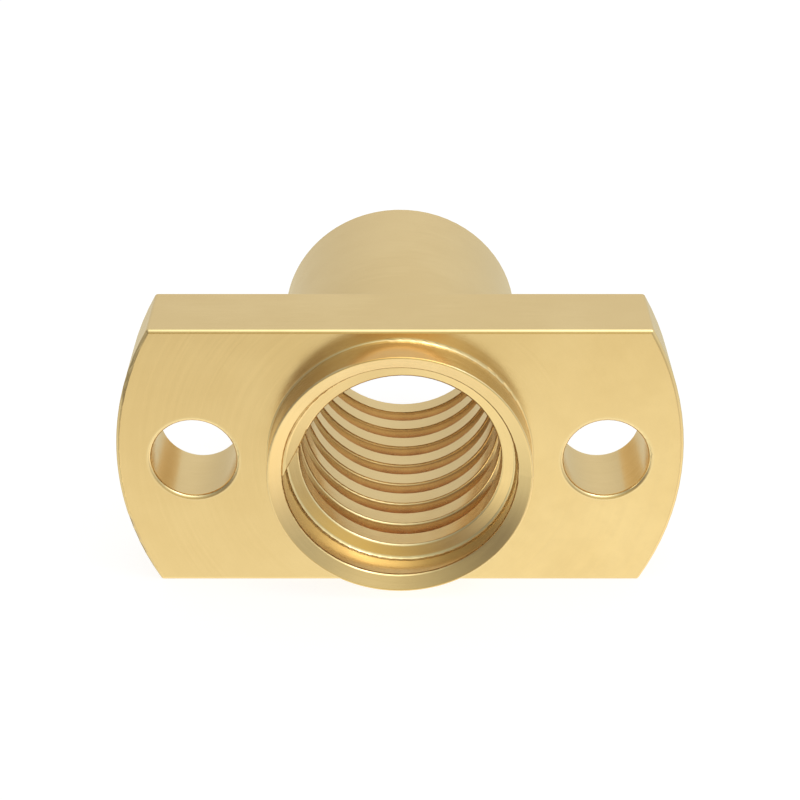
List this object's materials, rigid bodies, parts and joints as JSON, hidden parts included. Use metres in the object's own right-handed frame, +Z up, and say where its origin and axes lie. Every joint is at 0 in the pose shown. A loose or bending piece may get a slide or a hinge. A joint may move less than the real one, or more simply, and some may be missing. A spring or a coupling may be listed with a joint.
{
  "type": "lead screw nut",
  "caption": "Flanged lead screw nut: a round flange with opposite flats and fixing holes, a short collar in front, a long barrel behind and a coarse right-hand thread through it.",
  "frame": {"origin": "on the screw axis, in the plane of the flange's face on the barrel side", "axes": "+Y along the screw axis out of the barrel's end, +Z up through the upper flat, +X along the flats through the two fixing holes"},
  "size_m": [0.022, 0.015, 0.011],
  "materials": {
    "brass": "satin"
  },
  "bodies": {
    "root": {"nut": "brass"}
  },
  "joints": []
}
